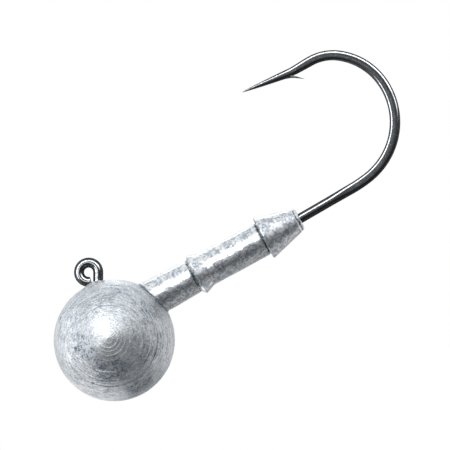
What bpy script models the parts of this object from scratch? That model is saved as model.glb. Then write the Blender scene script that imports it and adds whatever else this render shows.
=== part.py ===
"""Ball jig head: a lead ball and bait keeper cast in one piece round a 90 degree jig hook.

Two pieces. The hook is one length of wire: ringed eye, leg, shank, bend, barb and point.
The casting is poured round the hook's leg and shank, so a channel for the wire runs through it.

The origin is the middle of the line tie, the hook's eye. +X runs along the shank to the bend,
+Z points up out of the ball through the eye, and the hook lies in the XZ plane.
"""
import math

import bmesh
import bpy
from mathutils import Vector

MM = 0.001

# Hook wire
WIRE_RADIUS = 0.475 * MM
EYE_LOOP_RADIUS = 0.915 * MM      # to the middle of the wire
EYE_LOOP_TURN = 284.0             # degrees from the wire's cut end round to the neck
NECK_LEAN = 30.0                  # degrees between the neck and the leg
NECK_KINK_RADIUS = 0.80 * MM
LEG_BEND_RADIUS = 1.60 * MM
SHANK_DROP = 5.68 * MM            # from the eye's middle down to the shank

# Hook bend, as arcs that follow each other: radius and heading at the end of each
BEND_START = 25.61 * MM           # from the eye's middle along the shank
BEND_ARCS = ((13.0 * MM, 8.0), (6.77 * MM, 95.0), (5.99 * MM, 142.0), (4.35 * MM, 180.0))
FORGED_IN_PLANE = 0.50 * MM       # half width across the bend, seen from the side
FORGED_ACROSS = 0.38 * MM         # half thickness between the pressed flats
FORGING_RUN = 2.5 * MM            # length over which the flats fade in and out

# Hook point
ARM_LENGTH = 1.75 * MM
ARM_START_IN_PLANE = 0.47 * MM    # half width where the bend ends and the arm begins
ARM_RADIUS = 0.41 * MM
POINT_KICK = 8.0                  # degrees outward from the arm
POINT_KICK_RADIUS = 4.5 * MM
NEEDLE_LENGTH = 4.70 * MM
NEEDLE_BELLY = 2.20 * MM          # from the tip back to where the point is fullest for its length
NEEDLE_BELLY_RADIUS = 0.27 * MM
NEEDLE_TIP_RADIUS = 0.03 * MM

# Barb, measured from the tip: back along the needle, and inward from its middle
BARB_ROOT = (4.55 * MM, 0.36 * MM)
BARB_THROAT = (5.15 * MM, 0.36 * MM)
BARB_TIP = (5.97 * MM, 1.08 * MM)
BARB_TIP_THICKNESS = 0.05 * MM
BARB_WIDTH = 0.40 * MM
BARB_SET_IN = 0.20 * MM           # how far the sliver runs into the wire

# Casting
BALL_RADIUS = 5.75 * MM
BALL_AHEAD_OF_EYE = 1.08 * MM     # the leg leaves the ball a little aft of its middle
BALL_BELOW_SHANK = 1.16 * MM
COLLAR_TILT = 1.7                 # degrees that the keeper leans down towards its end
COLLAR_RISE = 1.78 * MM           # keeper axis above the ball's middle
COLLAR_START = 2.0 * MM           # inside the ball
COLLAR_RADIUS = 1.74 * MM
WAIST_RADIUS = 1.63 * MM          # on both sides of the front keeper ring
FRONT_RING_START = 9.55 * MM      # along the keeper's axis from the ball's middle
FRONT_RING_PEAK = 9.92 * MM
FRONT_RING_RADIUS = 2.02 * MM
FRONT_RING_END = 10.90 * MM
REAR_RING_FACE = 17.05 * MM
REAR_RING_RADIUS = 2.10 * MM
REAR_RING_CORNER = 0.20 * MM
NOSE_RADIUS = 1.15 * MM           # where the rear ring's long cone ends
NOSE_START = 20.60 * MM
NOSE_END = 20.98 * MM
NOSE_CORNER = 0.22 * MM
MOUND_RADII = (1.15 * MM, 0.80 * MM, 0.40 * MM)
MOUND_TOP = 0.14 * MM             # height of the lead round the leg above the ball

# Fit and facets
WIRE_GAP = 0.05 * MM
WIRE_SIDES = 16
COLLAR_SIDES = 40
BALL_SIDES = 48
DEGREES_PER_FACET = 9.0


def clear_scene():
    for item in list(bpy.data.objects):
        bpy.data.objects.remove(item, do_unlink=True)


def finish(name, colour, roughness, metallic):
    """A plain material with the piece's colour and gloss."""
    material = bpy.data.materials.new(name)
    material.use_nodes = True
    shader = material.node_tree.nodes["Principled BSDF"]
    shader.inputs["Base Color"].default_value = (*colour, 1.0)
    shader.inputs["Roughness"].default_value = roughness
    shader.inputs["Metallic"].default_value = metallic
    return material


def add_object(name, bm, parent):
    """Close the bmesh into an object that hangs on parent."""
    bmesh.ops.recalc_face_normals(bm, faces=bm.faces)
    mesh = bpy.data.meshes.new(name)
    bm.to_mesh(mesh)
    bm.free()
    item = bpy.data.objects.new(name, mesh)
    item.parent = parent
    bpy.context.scene.collection.objects.link(item)
    return item


def skin_rings(rings):
    """A closed skin over rings of points that all have the same number of points."""
    bm = bmesh.new()
    loops = [[bm.verts.new(point) for point in ring] for ring in rings]
    for near, far in zip(loops, loops[1:]):
        for i in range(len(near)):
            j = (i + 1) % len(near)
            bm.faces.new((near[i], near[j], far[j], far[i]))
    bm.faces.new(loops[0])
    bm.faces.new(loops[-1])
    return bm


def make_tool(name, bm, parent):
    """A shape that is only there to be joined to the casting or cut from it."""
    tool = add_object(name, bm, parent)
    tool.hide_render = True
    tool.display_type = "WIRE"
    return tool


def boolean(item, operation, tool):
    modifier = item.modifiers.new(f"{operation.lower()} {tool.name}", "BOOLEAN")
    modifier.operation = operation
    modifier.solver = "EXACT"
    modifier.object = tool


def smooth_round_faces(item):
    item.data.shade_smooth()
    item.data.set_sharp_from_angle(angle=math.radians(30))


class WireWalk:
    """Walks along the wire's middle in the XZ plane and keeps a station at each step.

    A station is (x, z, heading in degrees, half width in the plane, half width across it).
    """

    def __init__(self, x, z, heading, radius):
        self.x, self.z, self.heading = x, z, heading
        self.stations = [(x, z, heading, radius, radius)]

    def add(self, in_plane, across):
        self.stations.append((self.x, self.z, self.heading, in_plane, across))

    def line(self, length, in_plane, across=None):
        angle = math.radians(self.heading)
        self.x += length * math.cos(angle)
        self.z += length * math.sin(angle)
        self.add(in_plane, in_plane if across is None else across)

    def arc(self, radius, turn, widths):
        """Turn left by turn degrees, or right if it is negative. widths gives the half
        widths for the share of the arc that has been walked."""
        steps = max(2, math.ceil(abs(turn) / DEGREES_PER_FACET))
        step = math.radians(turn) / steps
        chord = 2 * radius * math.sin(abs(step) / 2)
        for i in range(1, steps + 1):
            middle = math.radians(self.heading) + step / 2
            self.x += chord * math.cos(middle)
            self.z += chord * math.sin(middle)
            self.heading += math.degrees(step)
            self.add(*widths(i / steps))


def wire_rings(stations, gap=0.0):
    """Rings of points round the wire. A pressed stretch is a round wire with flat sides."""
    rings = []
    for x, z, heading, in_plane, across in stations:
        angle = math.radians(heading)
        side = Vector((-math.sin(angle), 0, math.cos(angle)))
        ring = []
        for i in range(WIRE_SIDES):
            turn = 2 * math.pi * i / WIRE_SIDES
            out = (in_plane + gap) * math.cos(turn)
            sideways = (in_plane + gap) * math.sin(turn)
            flat = across + gap
            sideways = max(-flat, min(flat, sideways))
            ring.append(Vector((x, 0, z)) + side * out + Vector((0, sideways, 0)))
        rings.append(ring)
    return rings


def eye_neck_stations():
    """The neck, its kink, the leg and the bend into the shank: the stretch that the lead holds."""
    tangent = math.radians(-NECK_LEAN)
    walk = WireWalk(
        EYE_LOOP_RADIUS * math.cos(tangent),
        EYE_LOOP_RADIUS * math.sin(tangent),
        -90.0 - NECK_LEAN,
        WIRE_RADIUS,
    )
    lean = math.radians(NECK_LEAN)
    kink_shift = NECK_KINK_RADIUS * (1 - math.cos(lean))
    walk.line((walk.x - kink_shift) / math.sin(lean), WIRE_RADIUS)
    walk.arc(NECK_KINK_RADIUS, NECK_LEAN, lambda share: (WIRE_RADIUS, WIRE_RADIUS))
    walk.line(walk.z + SHANK_DROP - LEG_BEND_RADIUS, WIRE_RADIUS)
    walk.arc(LEG_BEND_RADIUS, 90.0, lambda share: (WIRE_RADIUS, WIRE_RADIUS))
    return walk


def eye_loop_stations(turn):
    """The loop of the eye, from turn degrees before the neck round to the neck."""
    start = turn - NECK_LEAN
    angle = math.radians(start)
    walk = WireWalk(
        EYE_LOOP_RADIUS * math.cos(angle),
        EYE_LOOP_RADIUS * math.sin(angle),
        start - 90.0,
        WIRE_RADIUS,
    )
    walk.arc(EYE_LOOP_RADIUS, -turn, lambda share: (WIRE_RADIUS, WIRE_RADIUS))
    return walk.stations


def forged(share):
    """Half widths a given share of the way from the round wire to the pressed bend."""
    in_plane = WIRE_RADIUS + (FORGED_IN_PLANE - WIRE_RADIUS) * share
    across = WIRE_RADIUS + (FORGED_ACROSS - WIRE_RADIUS) * share
    return in_plane, across


def arm_widths(share):
    """Half widths over the last arc, where the pressed wire thins to the arm."""
    in_plane = FORGED_IN_PLANE + (ARM_START_IN_PLANE - FORGED_IN_PLANE) * share
    return in_plane, FORGED_ACROSS


def hook_stations():
    """The whole hook from the eye's cut end to the tip of the point."""
    stations = eye_loop_stations(EYE_LOOP_TURN)
    walk = eye_neck_stations()
    stations += walk.stations[1:]
    walk.stations = []
    walk.line(BEND_START - walk.x - FORGING_RUN, WIRE_RADIUS)
    walk.line(FORGING_RUN / 2, *forged(0.3))
    walk.line(FORGING_RUN / 2, *forged(0.8))
    for radius, heading in BEND_ARCS[:-1]:
        walk.arc(radius, heading - walk.heading, lambda share: forged(1.0))
    radius, heading = BEND_ARCS[-1]
    walk.arc(radius, heading - walk.heading, arm_widths)
    walk.line(ARM_LENGTH, ARM_RADIUS, FORGED_ACROSS)
    walk.arc(POINT_KICK_RADIUS, -POINT_KICK, lambda share: (ARM_RADIUS, FORGED_ACROSS))
    walk.line(NEEDLE_LENGTH - NEEDLE_BELLY, NEEDLE_BELLY_RADIUS)
    walk.line(NEEDLE_BELLY, NEEDLE_TIP_RADIUS)
    return stations + walk.stations


def barb_sliver(tip):
    """The barb: a sliver of the wire lifted on the shank's side, as a wedge across the wire."""
    kick = math.radians(POINT_KICK)
    back = Vector((math.cos(kick), 0, -math.sin(kick)))
    inward = Vector((-math.sin(kick), 0, -math.cos(kick)))
    outline = [
        (BARB_ROOT[0], BARB_ROOT[1]),
        BARB_TIP,
        (BARB_TIP[0], BARB_TIP[1] - BARB_TIP_THICKNESS),
        BARB_THROAT,
        (BARB_THROAT[0], BARB_THROAT[1] - BARB_SET_IN),
        (BARB_ROOT[0], BARB_ROOT[1] - BARB_SET_IN),
    ]
    rings = []
    for side in (-0.5, 0.5):
        across = Vector((0, side * BARB_WIDTH, 0))
        rings.append([tip + back * along + inward * inset + across for along, inset in outline])
    return skin_rings(rings)


def make_hook(parent):
    stations = hook_stations()
    hook = add_object("hook", skin_rings(wire_rings(stations)), parent)
    tip = Vector((stations[-1][0], 0, stations[-1][1]))
    boolean(hook, "UNION", make_tool("barb", barb_sliver(tip), parent))
    smooth_round_faces(hook)
    hook.data.materials.append(finish("black nickel", (0.05, 0.055, 0.06), 0.22, 1.0))
    return hook


def corner(along, radius, size, start, end):
    """Points round a corner's arc, whose middle is at (along, radius), in degrees from +X."""
    angles = [math.radians(start + (end - start) * i / 3) for i in range(4)]
    return [(along + size * math.cos(a), radius + size * math.sin(a)) for a in angles]


def turned_collar():
    """The keeper collar as a turned shape about its own X axis."""
    shoulder = REAR_RING_RADIUS - REAR_RING_CORNER
    rim = NOSE_RADIUS - NOSE_CORNER
    profile = [
        (COLLAR_START, COLLAR_RADIUS),
        (BALL_RADIUS, COLLAR_RADIUS),
        (FRONT_RING_START, WAIST_RADIUS),
        (FRONT_RING_PEAK, FRONT_RING_RADIUS),
        (FRONT_RING_END, WAIST_RADIUS),
        (REAR_RING_FACE, WAIST_RADIUS),
        *corner(REAR_RING_FACE + REAR_RING_CORNER, shoulder, REAR_RING_CORNER, 180, 75),
        (NOSE_START, NOSE_RADIUS),
        *corner(NOSE_END - NOSE_CORNER, rim, NOSE_CORNER, 60, 0),
    ]
    rings = []
    for along, radius in profile:
        ring = []
        for i in range(COLLAR_SIDES):
            turn = 2 * math.pi * i / COLLAR_SIDES
            ring.append(Vector((along, radius * math.cos(turn), radius * math.sin(turn))))
        rings.append(ring)
    return skin_rings(rings)


def ball_mesh():
    """A ball whose poles lie on the hook's left and right, like the two halves of its mould."""
    bm = bmesh.new()
    bmesh.ops.create_uvsphere(
        bm, u_segments=BALL_SIDES, v_segments=BALL_SIDES // 2, radius=BALL_RADIUS
    )
    for vert in bm.verts:
        vert.co = Vector((vert.co.x, -vert.co.z, vert.co.y))
    return bm


def mound_mesh():
    bm = bmesh.new()
    bmesh.ops.create_uvsphere(bm, u_segments=20, v_segments=10, radius=1.0)
    bmesh.ops.scale(bm, vec=MOUND_RADII, verts=bm.verts)
    return bm


def make_casting(parent):
    ball_middle = Vector((-BALL_AHEAD_OF_EYE, 0, -SHANK_DROP - BALL_BELOW_SHANK))
    casting = add_object("cast_head", ball_mesh(), parent)
    casting.location = ball_middle

    collar = make_tool("collar", turned_collar(), parent)
    collar.location = ball_middle + Vector((0, 0, COLLAR_RISE))
    collar.rotation_euler = (0, math.radians(COLLAR_TILT), 0)
    boolean(casting, "UNION", collar)

    mound = make_tool("mound", mound_mesh(), parent)
    ball_top = ball_middle.z + math.sqrt(BALL_RADIUS**2 - BALL_AHEAD_OF_EYE**2)
    mound.location = (0, 0, ball_top + MOUND_TOP - MOUND_RADII[2])
    boolean(casting, "UNION", mound)

    walk = eye_neck_stations()
    walk.line(NOSE_END, WIRE_RADIUS)
    channel = make_tool("wire_channel", skin_rings(wire_rings(walk.stations, WIRE_GAP)), parent)
    boolean(casting, "DIFFERENCE", channel)

    gap_turn = math.degrees(WIRE_GAP / EYE_LOOP_RADIUS)
    loop = wire_rings(eye_loop_stations(EYE_LOOP_TURN + gap_turn), WIRE_GAP)
    groove = make_tool("eye_groove", skin_rings(loop[:len(loop) // 2]), parent)
    boolean(casting, "DIFFERENCE", groove)

    smooth_round_faces(casting)
    casting.data.materials.append(finish("cast lead", (0.62, 0.63, 0.65), 0.5, 1.0))
    return casting


def main():
    clear_scene()
    frame = bpy.data.objects.new("jig_head", None)
    bpy.context.scene.collection.objects.link(frame)
    make_hook(frame)
    make_casting(frame)


main()
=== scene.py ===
# %% [markdown]
# # A ball jig head: lead cast round a black nickel hook
#
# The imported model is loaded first, as a fixed frame. Every shape below takes its place from it.
# The object is two pieces, a lead casting and a wire hook. Both are rebuilt here as finer meshes
# that stand where the plain ones stand, and each gets a finish made of shader nodes.

# %% Load the frame
import math

import bmesh
import bpy
import numpy as np
from mathutils import Matrix, Vector
from mathutils import noise as mnoise


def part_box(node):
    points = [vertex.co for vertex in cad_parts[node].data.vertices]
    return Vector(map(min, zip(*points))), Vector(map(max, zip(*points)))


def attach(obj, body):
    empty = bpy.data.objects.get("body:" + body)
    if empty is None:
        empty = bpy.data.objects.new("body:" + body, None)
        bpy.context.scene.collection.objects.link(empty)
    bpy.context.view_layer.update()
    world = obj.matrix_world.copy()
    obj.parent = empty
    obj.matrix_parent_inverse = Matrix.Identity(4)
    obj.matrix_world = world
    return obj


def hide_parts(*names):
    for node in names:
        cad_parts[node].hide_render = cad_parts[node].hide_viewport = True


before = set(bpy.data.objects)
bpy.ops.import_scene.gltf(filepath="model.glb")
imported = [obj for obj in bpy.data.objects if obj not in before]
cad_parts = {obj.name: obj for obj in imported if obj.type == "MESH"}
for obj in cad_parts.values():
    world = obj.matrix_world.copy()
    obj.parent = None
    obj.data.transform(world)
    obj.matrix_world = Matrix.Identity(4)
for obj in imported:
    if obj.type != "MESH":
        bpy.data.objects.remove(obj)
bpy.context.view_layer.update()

MM = 0.001
head_low, head_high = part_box("cast_head")
hook_low, hook_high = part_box("hook")
print("casting from", head_low, "to", head_high)
print("hook from", hook_low, "to", hook_high)

# %% [markdown]
# ## Where things are
#
# The origin is the middle of the eye. The ball touches the lowest corner of the casting's box and
# its front, so its radius and its middle come from that box. The hook and the keeper stand by the
# same measures as in the plain model: the shank lies a fixed drop below the eye, and the keeper
# leans a little and starts above the ball's middle.

# %% Places taken from the frame
BALL_RADIUS = (head_high.y - head_low.y) / 2
BALL_MIDDLE = Vector((head_low.x + BALL_RADIUS, 0.0, head_low.z + BALL_RADIUS))
WIRE_RADIUS = 0.475 * MM
SHANK_Z = -5.68 * MM
KEEPER_LEAN = math.radians(1.7)
KEEPER_RISE = 1.78 * MM
print("ball radius", BALL_RADIUS, "middle", BALL_MIDDLE, "shank at z", SHANK_Z)


# %% [markdown]
# ## Tools for closed skins
#
# Both pieces start as rings of points with faces between them, closed at the ends. A curve with
# a bevel would give a round wire too, but not flats, a barb or a ball with its own rows. So one
# helper turns any rings of points into a mesh.

# %% Skin over rings
def skin(name, rings, tips=None):
    """A closed mesh over rings of points. tips are the points that close its two ends."""
    bm = bmesh.new()
    loops = [[bm.verts.new(p) for p in ring] for ring in rings]
    for near, far in zip(loops, loops[1:]):
        count = len(near)
        for i in range(count):
            j = (i + 1) % count
            bm.faces.new((near[i], near[j], far[j], far[i]))
    if tips is None:
        bm.faces.new(loops[0])
        bm.faces.new(loops[-1])
    else:
        for tip, loop in zip(tips, (loops[0], loops[-1])):
            point = bm.verts.new(tip)
            for i in range(len(loop)):
                bm.faces.new((loop[i], loop[(i + 1) % len(loop)], point))
    bmesh.ops.recalc_face_normals(bm, faces=bm.faces)
    mesh = bpy.data.meshes.new(name)
    bm.to_mesh(mesh)
    bm.free()
    piece = bpy.data.objects.new(name, mesh)
    bpy.context.scene.collection.objects.link(piece)
    return piece


# %% [markdown]
# Closed meshes can be joined and cut with a Boolean modifier. It is applied at once, so that the
# piece stays a plain mesh, and the tool is thrown away. A smooth step is the other helper: it
# fades one measure into another without a corner.

# %% Booleans and fades
def join_or_cut(piece, tool, operation):
    """Apply a Boolean of the tool to the piece, then throw the tool away."""
    modifier = piece.modifiers.new(operation, "BOOLEAN")
    modifier.operation = operation
    modifier.solver = "MANIFOLD"
    modifier.object = tool
    graph = bpy.context.evaluated_depsgraph_get()
    mesh = bpy.data.meshes.new_from_object(piece.evaluated_get(graph))
    piece.modifiers.clear()
    piece.data = mesh
    bpy.data.objects.remove(tool, do_unlink=True)
    print(operation, "leaves", len(mesh.polygons), "faces in", piece.name)


def smooth_step(low, high, value):
    """From 0 to 1 while the value goes from low to high, level at both ends."""
    share = np.clip((value - low) / (high - low), 0.0, 1.0)
    return share * share * (3 - 2 * share)


# %% [markdown]
# ## The hook's line
#
# A hook is a bent wire, so its middle line is a walk: straight stretches and arcs in one plane.
# The walk starts at the cut end of the eye, runs round the eye, down the leg into the lead, along
# the shank, round the bend and out along the point. Small steps keep the bend round, and every
# step stores how far it has come, which later sets how flat the forging has made the wire.

# %% A walk in the hook's plane
class Walk:
    """The wire's middle line. Each station is x, z, heading in radians, and distance so far."""

    def __init__(self, x, z, heading, step):
        self.x, self.z, self.heading = x, z, math.radians(heading)
        self.far, self.step = 0.0, step
        self.stations = [(x, z, self.heading, 0.0)]

    def store(self):
        self.stations.append((self.x, self.z, self.heading, self.far))

    def line(self, length):
        for _ in range(max(1, round(length / self.step))):
            part = length / max(1, round(length / self.step))
            self.x += part * math.cos(self.heading)
            self.z += part * math.sin(self.heading)
            self.far += part
            self.store()

    def arc(self, radius, turn):
        whole = math.radians(turn)
        parts = max(4, math.ceil(radius * abs(whole) / self.step))
        chord = 2 * radius * math.sin(abs(whole) / parts / 2)
        for _ in range(parts):
            self.heading += whole / parts / 2
            self.x += chord * math.cos(self.heading)
            self.z += chord * math.sin(self.heading)
            self.heading += whole / parts / 2
            self.far += radius * abs(whole) / parts
            self.store()


# %% [markdown]
# The eye is a ring of wire whose cut end butts against the neck. The neck leaves the ring on a
# slant, straightens into the leg and turns a right angle inside the lead. The casting's bed
# follows the same stretch later, so it is a function of its own.

# %% From the eye to the shank
EYE_RADIUS = 0.915 * MM       # to the middle of the wire
EYE_TURN = 284.0              # degrees, from the cut end round to the neck
NECK_LEAN = 30.0              # degrees between the neck and the leg
KINK_RADIUS = 0.80 * MM
LEG_BEND = 1.60 * MM
WALK_STEP = 0.10 * MM


def walk_neck(walk):
    """From the eye down the neck and the leg, and round to the shank."""
    lean = math.radians(NECK_LEAN)
    walk.line((walk.x - KINK_RADIUS * (1 - math.cos(lean))) / math.sin(lean))
    walk.arc(KINK_RADIUS, NECK_LEAN)
    walk.line(walk.z - SHANK_Z - LEG_BEND)
    walk.arc(LEG_BEND, 90.0)


def eye_start(turn):
    """Where the cut end of the wire lies, and its heading in degrees."""
    angle = math.radians(turn - NECK_LEAN)
    return EYE_RADIUS * math.cos(angle), EYE_RADIUS * math.sin(angle), turn - NECK_LEAN - 90.0


walk = Walk(*eye_start(EYE_TURN), WALK_STEP)
walk.arc(EYE_RADIUS, -EYE_TURN)
walk_neck(walk)
print("the eye and the leg take", round(walk.far / MM, 2), "mm of wire")

# %% [markdown]
# The bend isn't a half circle. It opens slowly off the shank, then closes tighter and tighter up
# to the arm, so it is a chain of arcs, each with the heading where it ends. The arm is straight,
# and the point kicks a little outward from it.

# %% From the shank to the point
BEND_START = 25.61 * MM       # from the eye's middle along the shank
BEND_ARCS = ((13.0 * MM, 8.0), (6.77 * MM, 95.0), (5.99 * MM, 142.0), (4.35 * MM, 180.0))
ARM_LENGTH = 1.75 * MM
POINT_KICK = 8.0              # degrees
KICK_RADIUS = 4.5 * MM
NEEDLE_LENGTH = 4.70 * MM
walk.line(BEND_START - walk.x)
bend_start = walk.far
for radius, heading in BEND_ARCS:
    walk.arc(radius, heading - math.degrees(walk.heading))
crown_end = walk.far
walk.line(ARM_LENGTH)
walk.arc(KICK_RADIUS, -POINT_KICK)
needle_start = walk.far
walk.line(NEEDLE_LENGTH)
wire_line = np.array(walk.stations)
tip = Vector((walk.x, 0, walk.z))
print("wire", round(walk.far / MM, 2), "mm long, tip at", tip)


# %% [markdown]
# ## The wire's section
#
# Drawn wire is round. Jig hooks are then pressed flat on both sides round the bend, which makes
# them stiffer, so the section there is a round with two flats and soft edges. A superellipse does
# that: its power grows from 2, a circle, where the press has not touched it. The needle is ground
# to a long cone with a slightly swollen waist.

# %% Widths along the wire
FORGED_IN_PLANE = 0.50 * MM   # half width across the bend, seen from the side
FORGED_ACROSS = 0.38 * MM     # half thickness between the flats
ARM_START = 0.47 * MM         # half width where the bend ends and the arm begins
ARM_WIRE = 0.41 * MM
TIP_RADIUS = 0.012 * MM
FORGING_FADE = 2.6 * MM       # over which the flats come in
FORGING_FULL = 0.4 * MM       # past the bend's start, where the flats are whole
FORGING_TAIL = 1.5 * MM       # past the needle's root, where they have faded again
FORGING_LOST = 0.55           # the share of them that is gone there
CROWN_RUN = 6.0 * MM          # end of the bend, over which the wire thins to the arm
NEEDLE_POWER = 0.72           # 1 is a straight cone, and less is fuller
FLAT_POWER = 0.7              # what whole flats add to the circle's power of 2


def wire_widths(far):
    """Half width in the hook's plane, half width across it, and the section's power."""
    forged = smooth_step(bend_start - FORGING_FADE, bend_start + FORGING_FULL, far)
    faded = smooth_step(crown_end, needle_start + FORGING_TAIL, far)
    forged = forged * (1 - FORGING_LOST * faded)
    in_plane = WIRE_RADIUS + (FORGED_IN_PLANE - WIRE_RADIUS) * forged
    in_crown = smooth_step(crown_end - CROWN_RUN, crown_end, far)
    in_plane = in_plane + (ARM_START - in_plane) * in_crown
    in_arm = smooth_step(crown_end, needle_start, far)
    in_plane = in_plane + (ARM_WIRE - in_plane) * in_arm
    across = in_plane + (FORGED_ACROSS - in_plane) * forged
    needle = np.clip((walk.far - far) / NEEDLE_LENGTH, 0.0, 1.0)
    cone = needle**NEEDLE_POWER
    in_plane = TIP_RADIUS + (in_plane - TIP_RADIUS) * cone
    across = TIP_RADIUS + (across - TIP_RADIUS) * cone
    return in_plane, across, 2.0 + FLAT_POWER * forged * needle


middle_widths = wire_widths((bend_start + crown_end) / 2)
print("half widths in the bend", [round(float(w) / MM, 3) for w in middle_widths[:2]], "mm")

# %% [markdown]
# The rings of the skin stand square to the walk. A swell makes the same wire a little fatter,
# which is the shape that its bed in the lead needs.

# %% Skin the hook
WIRE_SIDES = 40


def wire_rings(line, sides, swell=0.0):
    """Rings square to the walk, each as wide as the wire is there."""
    rings = []
    turn = np.linspace(0, 2 * np.pi, sides, endpoint=False)
    for x, z, heading, far in line:
        in_plane, across, power = wire_widths(far)
        out = np.sign(np.cos(turn)) * np.abs(np.cos(turn)) ** (2 / power) * (in_plane + swell)
        side = np.sign(np.sin(turn)) * np.abs(np.sin(turn)) ** (2 / power) * (across + swell)
        rings.append([
            Vector((x - math.sin(heading) * a, b, z + math.cos(heading) * a))
            for a, b in zip(out, side)
        ])
    return rings


hook = skin("hook_wire", wire_rings(wire_line, WIRE_SIDES))
print("hook skin has", len(hook.data.polygons), "faces")

# %% [markdown]
# ## The barb
#
# A barb is cut into the finished point with a chisel. The chisel lifts a sliver on the side that
# faces the shank and leaves a shallow notch behind it. So the notch is cut first, and then a thin
# curved sliver is joined on over it, wide where it leaves the wire and fine at its own tip.

# %% Rings of the barb
KICK = math.radians(POINT_KICK)
BACK = Vector((math.cos(KICK), 0, -math.sin(KICK)))
INWARD = Vector((-math.sin(KICK), 0, -math.cos(KICK)))
BARB_SPINE = (  # back from the tip, inward, thickness and width, all in millimetres
    (4.05, 0.20, 0.26, 0.42),
    (4.45, 0.29, 0.27, 0.44),
    (4.80, 0.37, 0.25, 0.42),
    (5.10, 0.50, 0.22, 0.38),
    (5.35, 0.66, 0.15, 0.32),
    (5.60, 0.83, 0.09, 0.23),
    (5.80, 0.96, 0.05, 0.13),
    (5.97, 1.07, 0.02, 0.04),
)
BARB_SIDES = 16
BARB_RINGS = 43


def barb_point(back, inward, across=0.0):
    """A place by its distance back from the tip and inward from it, in millimetres."""
    return tip + BACK * (back * MM) + INWARD * (inward * MM) + Vector((0, across * MM, 0))


def barb_rings():
    """Rounded rings along the barb's spine."""
    steps = np.linspace(0, len(BARB_SPINE) - 1, BARB_RINGS)
    spine = np.array(BARB_SPINE)
    columns = [np.interp(steps, range(len(spine)), spine[:, k]) for k in range(4)]
    back, inward, thick, width = columns
    slope = np.arctan2(np.gradient(inward), np.gradient(back))
    rings = []
    for i in range(len(steps)):
        ring = []
        for k in range(BARB_SIDES):
            turn = 2 * math.pi * k / BARB_SIDES
            out = thick[i] / 2 * math.cos(turn)
            ring.append(barb_point(
                back[i] - out * math.sin(slope[i]),
                inward[i] + out * math.cos(slope[i]),
                width[i] / 2 * math.sin(turn),
            ))
        rings.append(ring)
    return rings


# %% [markdown]
# The notch is a wedge that runs out along the arm, so that the cut fades back into the wire.

# %% Cut the notch and lift the barb
NOTCH_OUTLINE = ((4.90, 0.62), (5.14, 0.33), (5.60, 0.365), (6.50, 0.46), (6.50, 0.80))
NOTCH_SIDE = 0.6              # millimetres to each side, wider than the wire


def notch_rings():
    """The wedge's outline on both sides of the wire."""
    sides = (-NOTCH_SIDE, NOTCH_SIDE)
    return [[barb_point(back, inward, side) for back, inward in NOTCH_OUTLINE] for side in sides]


join_or_cut(hook, skin("notch", notch_rings()), "DIFFERENCE")
join_or_cut(hook, skin("barb", barb_rings()), "UNION")

# %% [markdown]
# ## The ball
#
# The mould for a ball head is cut with a turned tool that stands square to the mould's halves. So
# fine rings run round the two points of the ball that lie to the hook's left and right, and the
# ball is skinned in rows round the same two poles. The rows carry the turned steps, the soft
# dents of the casting, the thin ridge where the two halves meet and the lead round the leg. The
# tool could not quite reach the mould's middle, so the ball ends in a low cone at each pole.

# %% Turned steps
RING_STEPS = (  # degrees from the pole, half width in degrees, height in millimetres
    (5.0, 0.8, 0.0135), (9.0, 0.7, 0.015), (12.5, 0.7, 0.0135), (16.5, 0.8, 0.015),
    (21.0, 0.8, 0.012), (31.5, 0.7, 0.027), (33.6, 0.6, -0.021), (41.0, 0.7, 0.027),
    (43.0, 0.6, -0.027), (49.6, 0.8, -0.030), (51.4, 0.7, 0.024), (58.0, 0.8, 0.015),
    (66.0, 0.8, 0.015),
)
RING_SHIFT = 0.6              # degrees that the far side's steps are moved by
THREAD_HEIGHT = 0.006         # millimetres, as is the cone's height
POLE_CONE_HEIGHT = 0.18
POLE_CONE_REACH = 20.0        # degrees from the pole


def ring_height(pole_angle, side):
    """How far the turned steps stand out at an angle in degrees from the pole."""
    height = 0.0
    for angle, width, rise in RING_STEPS:
        height += rise * math.exp(-((pole_angle - angle - RING_SHIFT * side) / width) ** 2)
    thread = mnoise.noise(Vector((pole_angle * 0.9, 7.0 + 3.0 * side, 0.5)))
    cone = max(0.0, 1 - pole_angle / POLE_CONE_REACH) ** 2
    return (height + THREAD_HEIGHT * thread + POLE_CONE_HEIGHT * cone) * MM


print("the ball stands", round(ring_height(0.0, 0) / MM, 3), "mm proud at its pole")

# %% [markdown]
# One point of the ball adds up everything that lifts the skin. The steps come first, then wide
# and fine dents, the seam, and the lumpy lead that has crept up round the leg.

# %% Skin the ball
BALL_ROWS = 420
BALL_COLUMNS = 128
BALL_SINK = 0.02 * MM         # the skin starts this far in, so that its bumps stay in the box
WIDE_DENTS = 0.016 * MM
FINE_DENTS = 0.006 * MM
SEAM_HEIGHT = 0.030 * MM
SEAM_WIDTH = 0.055 * MM
MOUND_HEIGHT = 0.17 * MM
MOUND_REACH = 0.95 * MM
leg_root = Vector((0, 0, BALL_MIDDLE.z + math.sqrt(BALL_RADIUS**2 - BALL_MIDDLE.x**2)))


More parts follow.
